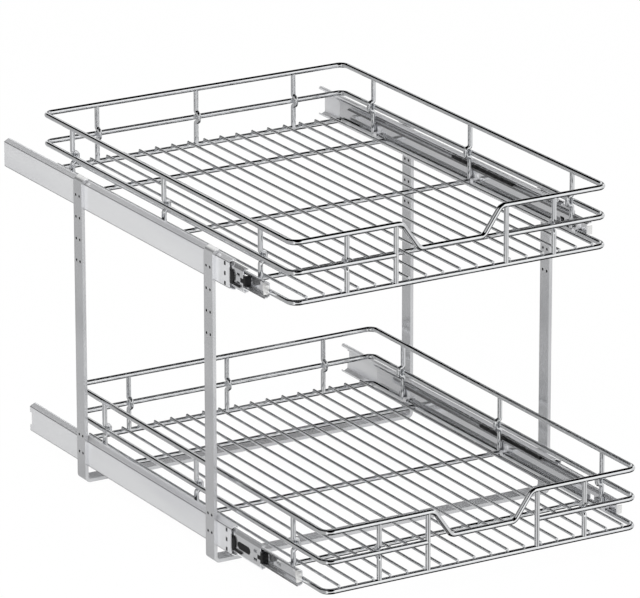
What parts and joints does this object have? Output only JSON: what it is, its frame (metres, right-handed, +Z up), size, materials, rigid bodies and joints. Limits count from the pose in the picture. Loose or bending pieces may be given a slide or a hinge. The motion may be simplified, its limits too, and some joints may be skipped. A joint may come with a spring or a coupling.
{
  "type": "pull-out cabinet basket",
  "caption": "Two-tier pull-out wire basket unit for a kitchen cabinet: chromed wire baskets on ball slides carried by U-shaped steel brackets.",
  "frame": {"origin": "middle of the four floor screw holes, on the underside of the two brackets", "axes": "+Z up; the baskets pull out towards -Y; +X to the right seen from the front"},
  "size_m": [0.4256, 0.6821, 0.3965],
  "materials": {
    "chrome_wire": "bright chrome plated steel wire",
    "slide_steel": "satin zinc plated steel strip",
    "bar_steel": "satin zinc plated flat bar",
    "tip_steel": "bright steel",
    "ball_steel": "polished steel balls",
    "black_plastic": "moulded plastic, slightly glossy"
  },
  "bodies": {
    "frame": {"front_bracket": "bar_steel", "rear_bracket": "bar_steel", "rail_screws": "slide_steel", "upper_left_outer_rail": "slide_steel", "upper_left_outer_bumper": "black_plastic", "upper_right_outer_rail": "slide_steel", "upper_right_outer_bumper": "black_plastic", "lower_left_outer_rail": "slide_steel", "lower_left_outer_bumper": "black_plastic", "lower_right_outer_rail": "slide_steel", "lower_right_outer_bumper": "black_plastic"},
    "upper_basket": {"upper_top_rim": "chrome_wire", "upper_mid_rim": "chrome_wire", "upper_bottom_ring": "chrome_wire", "upper_side_posts": "chrome_wire", "upper_end_posts": "chrome_wire", "upper_cross_wires": "chrome_wire", "upper_floor_wires": "chrome_wire", "upper_rail_clips": "slide_steel", "upper_left_inner_rail": "slide_steel", "upper_left_inner_tip": "tip_steel", "upper_right_inner_rail": "slide_steel", "upper_right_inner_tip": "tip_steel"},
    "upper_left_middle": {"upper_left_middle_rail": "slide_steel", "upper_left_middle_bumper": "black_plastic"},
    "upper_left_outer_ball_row": {"upper_left_outer_cage": "black_plastic", "upper_left_outer_balls": "ball_steel"},
    "upper_left_inner_ball_row": {"upper_left_inner_cage": "black_plastic", "upper_left_inner_balls": "ball_steel"},
    "upper_right_middle": {"upper_right_middle_rail": "slide_steel", "upper_right_middle_bumper": "black_plastic"},
    "upper_right_outer_ball_row": {"upper_right_outer_cage": "black_plastic", "upper_right_outer_balls": "ball_steel"},
    "upper_right_inner_ball_row": {"upper_right_inner_cage": "black_plastic", "upper_right_inner_balls": "ball_steel"},
    "lower_basket": {"lower_top_rim": "chrome_wire", "lower_mid_rim": "chrome_wire", "lower_bottom_ring": "chrome_wire", "lower_side_posts": "chrome_wire", "lower_end_posts": "chrome_wire", "lower_cross_wires": "chrome_wire", "lower_floor_wires": "chrome_wire", "lower_rail_clips": "slide_steel", "lower_left_inner_rail": "slide_steel", "lower_left_inner_tip": "tip_steel", "lower_right_inner_rail": "slide_steel", "lower_right_inner_tip": "tip_steel"},
    "lower_left_middle": {"lower_left_middle_rail": "slide_steel", "lower_left_middle_bumper": "black_plastic"},
    "lower_left_outer_ball_row": {"lower_left_outer_cage": "black_plastic", "lower_left_outer_balls": "ball_steel"},
    "lower_left_inner_ball_row": {"lower_left_inner_cage": "black_plastic", "lower_left_inner_balls": "ball_steel"},
    "lower_right_middle": {"lower_right_middle_rail": "slide_steel", "lower_right_middle_bumper": "black_plastic"},
    "lower_right_outer_ball_row": {"lower_right_outer_cage": "black_plastic", "lower_right_outer_balls": "ball_steel"},
    "lower_right_inner_ball_row": {"lower_right_inner_cage": "black_plastic", "lower_right_inner_balls": "ball_steel"}
  },
  "joints": [
    {"name": "upper_basket_slide", "type": "slide", "parent": "frame", "child": "upper_basket", "axis": [0, -1, 0], "range_m": [-0.0635, 0.4445]},
    {"name": "upper_left_middle_slide", "type": "slide", "parent": "frame", "child": "upper_left_middle", "axis": [0, -1, 0], "range_m": [-0.03175, 0.22225]},
    {"name": "upper_left_outer_ball_row_slide", "type": "slide", "parent": "frame", "child": "upper_left_outer_ball_row", "axis": [0, -1, 0], "range_m": [-0.01588, 0.11113]},
    {"name": "upper_left_inner_ball_row_slide", "type": "slide", "parent": "frame", "child": "upper_left_inner_ball_row", "axis": [0, -1, 0], "range_m": [-0.04763, 0.33338]},
    {"name": "upper_right_middle_slide", "type": "slide", "parent": "frame", "child": "upper_right_middle", "axis": [0, -1, 0], "range_m": [-0.03175, 0.22225]},
    {"name": "upper_right_outer_ball_row_slide", "type": "slide", "parent": "frame", "child": "upper_right_outer_ball_row", "axis": [0, -1, 0], "range_m": [-0.01588, 0.11113]},
    {"name": "upper_right_inner_ball_row_slide", "type": "slide", "parent": "frame", "child": "upper_right_inner_ball_row", "axis": [0, -1, 0], "range_m": [-0.04763, 0.33338]},
    {"name": "lower_basket_slide", "type": "slide", "parent": "frame", "child": "lower_basket", "axis": [0, -1, 0], "range_m": [-0.1296, 0.3274]},
    {"name": "lower_left_middle_slide", "type": "slide", "parent": "frame", "child": "lower_left_middle", "axis": [0, -1, 0], "range_m": [-0.0648, 0.1637]},
    {"name": "lower_left_outer_ball_row_slide", "type": "slide", "parent": "frame", "child": "lower_left_outer_ball_row", "axis": [0, -1, 0], "range_m": [-0.0324, 0.08185]},
    {"name": "lower_left_inner_ball_row_slide", "type": "slide", "parent": "frame", "child": "lower_left_inner_ball_row", "axis": [0, -1, 0], "range_m": [-0.0972, 0.24555]},
    {"name": "lower_right_middle_slide", "type": "slide", "parent": "frame", "child": "lower_right_middle", "axis": [0, -1, 0], "range_m": [-0.0648, 0.1637]},
    {"name": "lower_right_outer_ball_row_slide", "type": "slide", "parent": "frame", "child": "lower_right_outer_ball_row", "axis": [0, -1, 0], "range_m": [-0.0324, 0.08185]},
    {"name": "lower_right_inner_ball_row_slide", "type": "slide", "parent": "frame", "child": "lower_right_inner_ball_row", "axis": [0, -1, 0], "range_m": [-0.0972, 0.24555]}
  ],
  "couplings": [
    {"joint": "upper_left_middle_slide", "follows": "upper_basket_slide", "ratio": 0.5},
    {"joint": "upper_left_outer_ball_row_slide", "follows": "upper_basket_slide", "ratio": 0.25},
    {"joint": "upper_left_inner_ball_row_slide", "follows": "upper_basket_slide", "ratio": 0.75},
    {"joint": "upper_right_middle_slide", "follows": "upper_basket_slide", "ratio": 0.5},
    {"joint": "upper_right_outer_ball_row_slide", "follows": "upper_basket_slide", "ratio": 0.25},
    {"joint": "upper_right_inner_ball_row_slide", "follows": "upper_basket_slide", "ratio": 0.75},
    {"joint": "lower_left_middle_slide", "follows": "lower_basket_slide", "ratio": 0.5},
    {"joint": "lower_left_outer_ball_row_slide", "follows": "lower_basket_slide", "ratio": 0.25},
    {"joint": "lower_left_inner_ball_row_slide", "follows": "lower_basket_slide", "ratio": 0.75},
    {"joint": "lower_right_middle_slide", "follows": "lower_basket_slide", "ratio": 0.5},
    {"joint": "lower_right_outer_ball_row_slide", "follows": "lower_basket_slide", "ratio": 0.25},
    {"joint": "lower_right_inner_ball_row_slide", "follows": "lower_basket_slide", "ratio": 0.75}
  ]
}
